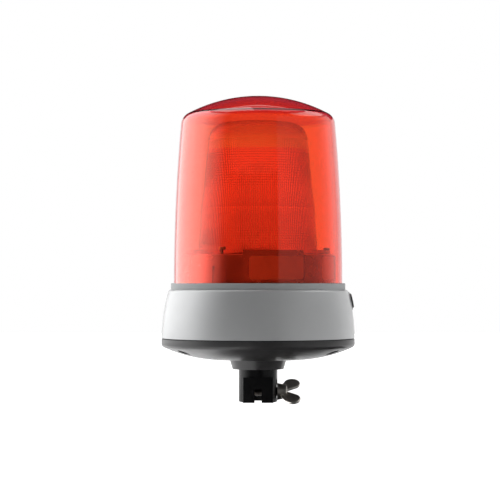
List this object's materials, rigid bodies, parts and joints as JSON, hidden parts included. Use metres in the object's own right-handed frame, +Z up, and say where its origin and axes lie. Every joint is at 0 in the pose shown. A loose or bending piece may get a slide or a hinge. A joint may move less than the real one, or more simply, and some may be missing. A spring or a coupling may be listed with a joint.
{
  "type": "xenon strobe beacon",
  "caption": "Xenon strobe beacon with a red twist-off lens over a clear drum optic, a grey ring, a black dished base and a spigot socket clamped by a wing screw.",
  "frame": {"origin": "centre of the seat at the top of the spigot socket, where the end of the spigot stops", "axes": "+Z up along the socket's axis, -Y the front with the anti-turn slot, +X the wing screw's side"},
  "size_m": [0.166, 0.166, 0.2641],
  "materials": {
    "red_lens": "clear, polished, tinted red",
    "clear_optic": "clear, moulded prisms",
    "tube_glass": "clear glass",
    "grey_housing": "satin light grey",
    "grey_seal": "soft grey rubber",
    "black_pan": "satin black moulding",
    "black_tube": "gloss black coating",
    "black_rubber": "black rubber",
    "black_screw": "black plastic",
    "screw_steel": "plain steel",
    "zinc_steel": "zinc plated steel",
    "contact_brass": "plain brass",
    "spring_steel": "drawn wire",
    "insulator": "brown moulding",
    "grey_cover": "grey moulding",
    "lamp_base": "off-white ceramic",
    "electrode": "tungsten and nickel",
    "reflector": "bright sheet",
    "board": "solder mask",
    "can": "sleeved can",
    "ferrite": "ferrite",
    "copper": "enamelled wire",
    "black_part": "moulded case",
    "terminal": "moulded case",
    "sink": "anodised",
    "red_lead": "insulation",
    "black_lead": "insulation"
  },
  "bodies": {
    "base": {"socket_tube": "black_tube", "socket_nut": "zinc_steel", "earth_tag": "contact_brass", "contact_insulator": "insulator", "contact_bush": "contact_brass", "contact_spring": "spring_steel", "base_pan": "black_pan", "base_gasket": "black_rubber", "base_screws": "zinc_steel", "housing_ring": "grey_housing", "lens_seal": "grey_seal", "lock_screw": "black_screw", "electronics_cover": "grey_cover", "drum_optic": "clear_optic", "optic_screws": "zinc_steel", "lamp_socket": "lamp_base", "flash_tube": "tube_glass", "tube_electrodes": "electrode", "trigger_wire": "electrode", "reflector_disc": "reflector", "circuit_board": "board", "board_screws": "zinc_steel", "storage_capacitors": "can", "transformer_core": "ferrite", "transformer_winding": "copper", "trigger_coil": "copper", "terminal_block": "terminal", "heat_sink": "sink", "transistor": "black_part", "supply_lead": "red_lead", "earth_lead": "black_lead", "flash_leads": "red_lead"},
    "lens": {"lens": "red_lens"},
    "thrust_pad": {"thrust_pad": "contact_brass"},
    "wing_screw": {"wing_screw": "screw_steel"},
    "contact_plunger": {"contact_plunger": "contact_brass", "contact_clip": "spring_steel"}
  },
  "joints": [
    {"name": "lens_turn", "type": "hinge", "parent": "base", "child": "lens", "pos_m": [0, 0, 0.062], "axis": [0, 0, 1], "range_deg": [0, 27]},
    {"name": "wing_screw_feed", "type": "slide", "parent": "base", "child": "thrust_pad", "axis": [1, 0, 0], "range_m": [0, 0.01657]},
    {"name": "wing_screw_turn", "type": "hinge", "parent": "thrust_pad", "child": "wing_screw", "pos_m": [0.0163, 0, -0.0172], "axis": [1, 0, 0], "range_deg": [0, 4770]},
    {"name": "contact_press", "type": "slide", "parent": "base", "child": "contact_plunger", "axis": [0, 0, 1], "range_m": [0, 0.0025], "stiffness_N_per_m": 400, "springref_m": -0.003, "deforming": ["contact_spring"]}
  ],
  "couplings": [
    {"joint": "wing_screw_feed", "follows": "wing_screw_turn", "m_per_rad": 0.00019894}
  ]
}
